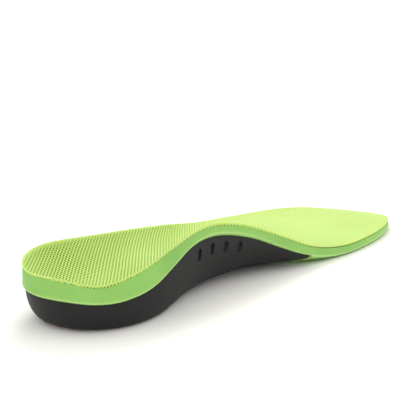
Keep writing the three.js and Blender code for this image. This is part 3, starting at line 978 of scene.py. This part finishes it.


# %% [markdown]
# ### Polyester spacer knit
# A warp knit has open eyelets in staggered columns: the loops round each one are bright and the
# backing shows dark through it. The cloth's own map, in millimetres, keeps the eyelets square up the
# bowl's wall. A Voronoi pattern with no randomness is a plain grid of dots, and turning it 45 degrees
# staggers them. Toward the ball the eyelets fade out, a painted lightening of the forefoot for the
# light that falls there from the lamp beyond the toe, and they are left out at the trimmed edge.
# Fibres scatter light at grazing angles, which sheen is for.


# %% Knit
def knit():
    """Bright loops and dark eyelets. The pitches are in millimetres on the cloth."""
    material = start("polyester_spacer_knit")
    column_pitch, eyelet_pitch = 2.3, 1.9
    diagonal = math.sqrt(2)
    wave_repeat = 2 * math.pi / 20  # a wave texture makes 20 bands in 2 pi units
    # Stations in the frame, in metres, between the waist and the ball, over which the painted lightening of
    # the forefoot grows.
    light_fade_from, light_fade_to, most_light_fade = -0.02, 0.045, 0.65
    cloth = add(material, "UVMap", uv_map="cloth")
    grid = add(material, "Mapping", {
        "Vector": (cloth, "UV"), "Rotation": (0, 0, math.radians(45)),
        "Scale": (diagonal / column_pitch, diagonal / eyelet_pitch, 1)})
    eyelets = add(material, "TexVoronoi", {
        "Vector": (grid, "Vector"), "Scale": 1.0, "Randomness": 0.0}, voronoi_dimensions="2D")
    wales = add(material, "Mapping", {
        "Vector": (cloth, "UV"), "Scale": (wave_repeat / (column_pitch / 2), 0.02, 1)})
    loops = add(material, "TexWave", {
        "Vector": (wales, "Vector"), "Scale": 1.0, "Distortion": 0.3, "Detail": 1.0, "Detail Scale": 2.0},
        bands_direction="X")
    place = add(material, "TexCoord")
    patches = add(material, "TexNoise", {"Vector": (place, "Object"), "Scale": 22.0, "Detail": 3.0})
    yarn = add(material, "ValToRGB", {"Fac": (patches, "Fac")}, stops=((0.3, "#BFDA71"), (0.7, "#CBE77F")))
    cut_edge = add(material, "Attribute", attribute_name="cut_edge")
    depth = add(material, "MapRange", {
        "Value": (eyelets, "Distance"), "From Min": 0.2, "From Max": 0.42, "To Min": 0.0, "To Max": 1.0})
    along = add(material, "SeparateXYZ", {"Vector": (place, "Object")})
    # Painted light: the eyelets fade toward the ball, so the forefoot is painted lighter, as the lamp
    # beyond the toe lights it more.
    painted_forefoot_light = add(material, "MapRange", {
        "Value": (along, "X"), "From Min": light_fade_from, "From Max": light_fade_to,
        "To Min": 0.0, "To Max": most_light_fade})
    closed = add(material, "Math", {0: (cut_edge, "Fac"), 1: (painted_forefoot_light, "Result")}, operation="MAXIMUM")
    filled = add(material, "Math", {0: (depth, "Result"), 1: (closed, "Value")}, operation="MAXIMUM")
    dotted = add(material, "ValToRGB", {"Fac": (filled, "Value")}, stops=((0, "#56702C"), (1, "#FFFFFF")))
    striped = add(material, "ValToRGB", {"Fac": (loops, "Fac")}, stops=((0, "#F0F5E6"), (1, "#FFFFFF")))
    first = add(material, "MixRGB", {"Fac": 1.0, "Color1": (yarn, "Color"), "Color2": (dotted, "Color")},
                blend_type="MULTIPLY")
    colour = add(material, "MixRGB", {"Fac": 1.0, "Color1": (first, "Color"), "Color2": (striped, "Color")},
                 blend_type="MULTIPLY")
    relief = add(material, "Math", {0: (filled, "Value"), 1: (loops, "Fac")}, operation="ADD")
    bump = add(material, "Bump", {"Height": (relief, "Value"), "Strength": 0.4, "Distance": 0.2 * MM})
    return surface(material, **{
        "Base Color": (colour, "Color"), "Normal": (bump, "Normal"), "Roughness": 0.85,
        "Specular IOR Level": 0.2, "Sheen Weight": 0.6, "Sheen Roughness": 0.35,
        "Sheen Tint": linear("#E9FFB4")})


# %% [markdown]
# ### Moulded foam, film, cement, nylon and gel
# The foam is a cross-linked EVA with a thin moulded skin: even, softly glossy, with faint mottling and
# pin-sized cells; a paler band on its lip and beads is a painted highlight. The shell is a glass-filled
# nylon from a spark-eroded mould, so it has a fine even grain and no mirror gloss. The gel is a
# polyurethane, a little glossy; its colour is lighter on the tops of its diamonds as a painted highlight
# and deeper in the field as painted shade. Its wall is painted dark brown, as painted shade in the groove
# round the pad. Film and cement are thin and glassy.


# %% Moulded and spread materials
def speckled(name, dark, light, grain, mottle, depth, pale=None, **shader_settings):
    """A moulded plastic or foam: two close colours in soft patches, a fine surface grain in mm, and a paler
    colour where the mesh is marked, as a painted highlight, if one is given.
    """
    material = start(name)
    place = add(material, "TexCoord")
    patches = add(material, "TexNoise", {
        "Vector": (place, "Object"), "Scale": 1 / (mottle * MM), "Detail": 4.0})
    colour = add(material, "ValToRGB", {"Fac": (patches, "Fac")}, stops=((0.32, dark), (0.68, light)))
    if pale:
        # Painted highlight: the marked places take a paler colour.
        highlight_mark = add(material, "Attribute", attribute_name="pale")
        colour = add(material, "MixRGB", {
            "Fac": (highlight_mark, "Fac"), "Color1": (colour, "Color"), "Color2": linear(pale)})
    bump = grained(material, place, grain, strength=0.6, depth=depth)
    return surface(material, **{
        "Base Color": (colour, "Color"), "Normal": (bump, "Normal"), **shader_settings})


# %% Gel
def gel():
    """Orange gel, with a painted highlight on the tops of the diamonds, painted shade deeper in the field,
    and dark painted shade on the wall.
    """
    material = start("cast_polyurethane_gel")
    height = add(material, "Attribute", attribute_name="proud")
    # A painted highlight on the diamonds' tips, and painted shade in the field.
    crest_highlight_field_shade = add(material, "ValToRGB", {"Fac": (height, "Fac")},
                 stops=((0.15, "#EC8038"), (0.9, "#FFAC68")))
    # Painted shade: the wall is coloured dark brown.
    wall = add(material, "Attribute", attribute_name="wall")
    colour = add(material, "MixRGB", {
        "Fac": (wall, "Fac"), "Color1": (crest_highlight_field_shade, "Color"), "Color2": linear("#6B3A1C")})
    bump = grained(material, add(material, "TexCoord"), size=0.5, strength=0.35, depth=0.03)
    return surface(material, **{
        "Base Color": (colour, "Color"), "Normal": (bump, "Normal"), "Roughness": 0.42, "IOR": 1.48,
        "Coat Weight": 0.15, "Coat Roughness": 0.3})


# %% The finishes
finishes = {
    "knit": knit(),
    # The foam's pale colour is a painted highlight on its lip and beads.
    "foam": speckled("moulded_eva_foam", "#82B457", "#8EC160", grain=0.7, mottle=25, depth=0.04,
                     pale="#B3DA85", **{"Roughness": 0.6, "IOR": 1.45, "Specular IOR Level": 0.35}),
    "shell": speckled("moulded_nylon", "#161617", "#1D1D1E", grain=0.35, mottle=30, depth=0.03,
                      **{"Roughness": 0.55, "IOR": 1.5, "Specular IOR Level": 0.25}),
    "film": speckled("hot_melt_film", "#74853C", "#8E9C50", grain=0.8, mottle=12, depth=0.02,
                     Roughness=0.3, IOR=1.5),
    "cement": speckled("contact_cement", "#D9C88C", "#E6D9A8", grain=1.5, mottle=8, depth=0.05,
                       Roughness=0.4, IOR=1.52),
    "gel": gel(),
}
print("finishes:", ", ".join(finishes))

# %% Give each piece its finish, and shade it smooth
dressed = [
    (cover, "knit"), (film, "film"), (foam, "foam"), (shell, "shell"), (shell_glue, "cement"),
    (heel_gel, "gel"), (heel_glue, "cement"), (forefoot_gel, "gel"), (forefoot_glue, "cement"),
]
for piece, finish in dressed:
    piece.data.materials.clear()
    piece.data.materials.append(finishes[finish])
    alone(piece)
    bpy.ops.object.shade_smooth_by_angle(angle=math.radians(38))

# %% [markdown]
# ## How the pieces move
# The insole flexes across the ball, just ahead of the shell. The real foam and knit are each one
# piece, so they have to bend there and not break. Here each layer takes the place of the frame's
# parts that it stands for, which are hidden, and is left in place in the frame. The heel pad and its
# cement lie well behind the flex line and ride with the rear.

stands_for = [
    (cover, ["top_cover_rear", "top_cover_front"]),
    (film, ["cover_film_rear", "cover_film_front"]),
    (foam, ["foam_cushion_rear", "foam_cushion_front"]),
    (shell, ["arch_shell"]),
    (shell_glue, ["shell_cement"]),
    (forefoot_gel, ["forefoot_pad"]),
    (forefoot_glue, ["forefoot_pad_cement"]),
]
for piece, nodes in stands_for:
    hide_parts(*nodes)
    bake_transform(piece)
for piece, node in ((heel_gel, "heel_pad"), (heel_glue, "heel_pad_cement")):
    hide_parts(node)
    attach(piece, "rearfoot")

# %% [markdown]
# ## The studio
# The floor is a plain near-white sheet, lit by a white surround and one large soft lamp beyond the
# toe, so that the shadows are faint and close to the sole. A long lens low over the floor looks along
# the insole from behind the heel, on the arch's side.

# %% Floor and light
bpy.ops.mesh.primitive_plane_add(size=6)
floor = bpy.context.object
floor.name = "floor"
floor_paint = surface(start("white_paper"), **{"Base Color": linear("#FFFDF8"), "Roughness": 0.9})
floor.data.materials.append(floor_paint)

scene = bpy.context.scene
scene.view_settings.view_transform = "Standard"
world = bpy.data.worlds.new("surround")
scene.world = world
world.use_nodes = True
world.node_tree.nodes["Background"].inputs["Color"].default_value = (1, 1, 1, 1)
world.node_tree.nodes["Background"].inputs["Strength"].default_value = 1.1


def soft_lamp(name, place, aim, size, power):
    """A round area lamp, aimed at a point."""
    lamp = bpy.data.lights.new(name, "AREA")
    lamp.shape, lamp.size, lamp.energy = "DISK", size, power
    holder = bpy.data.objects.new(name, lamp)
    scene.collection.objects.link(holder)
    holder.location = place
    holder.rotation_euler = (Vector(aim) - Vector(place)).to_track_quat("-Z", "Y").to_euler()


middle_of_foot = (cad_low + cad_high) / 2
soft_lamp("key", place=(0.4, 0.32, 0.5), aim=middle_of_foot, size=0.4, power=2.6)

# %% Camera
# The view is aimed a little behind the middle, with a slight roll.
camera_place = Vector((-0.3667, -0.2629, 0.1166))
camera_aim = Vector((-0.0116, 0.0071, 0.0327))
camera_roll = math.radians(-1.42)
lens = bpy.data.cameras.new("camera")
lens.lens, lens.sensor_width = 82.2, 36
camera = bpy.data.objects.new("camera", lens)
scene.collection.objects.link(camera)
camera.location = camera_place
turned = (camera_aim - camera_place).to_track_quat("-Z", "Y").to_matrix()
right, up, back = (turned.col[k].copy() for k in range(3))
turned.col[0] = right * math.cos(camera_roll) + up * math.sin(camera_roll)
turned.col[1] = up * math.cos(camera_roll) - right * math.sin(camera_roll)
camera.rotation_euler = turned.to_euler()
scene.camera = camera
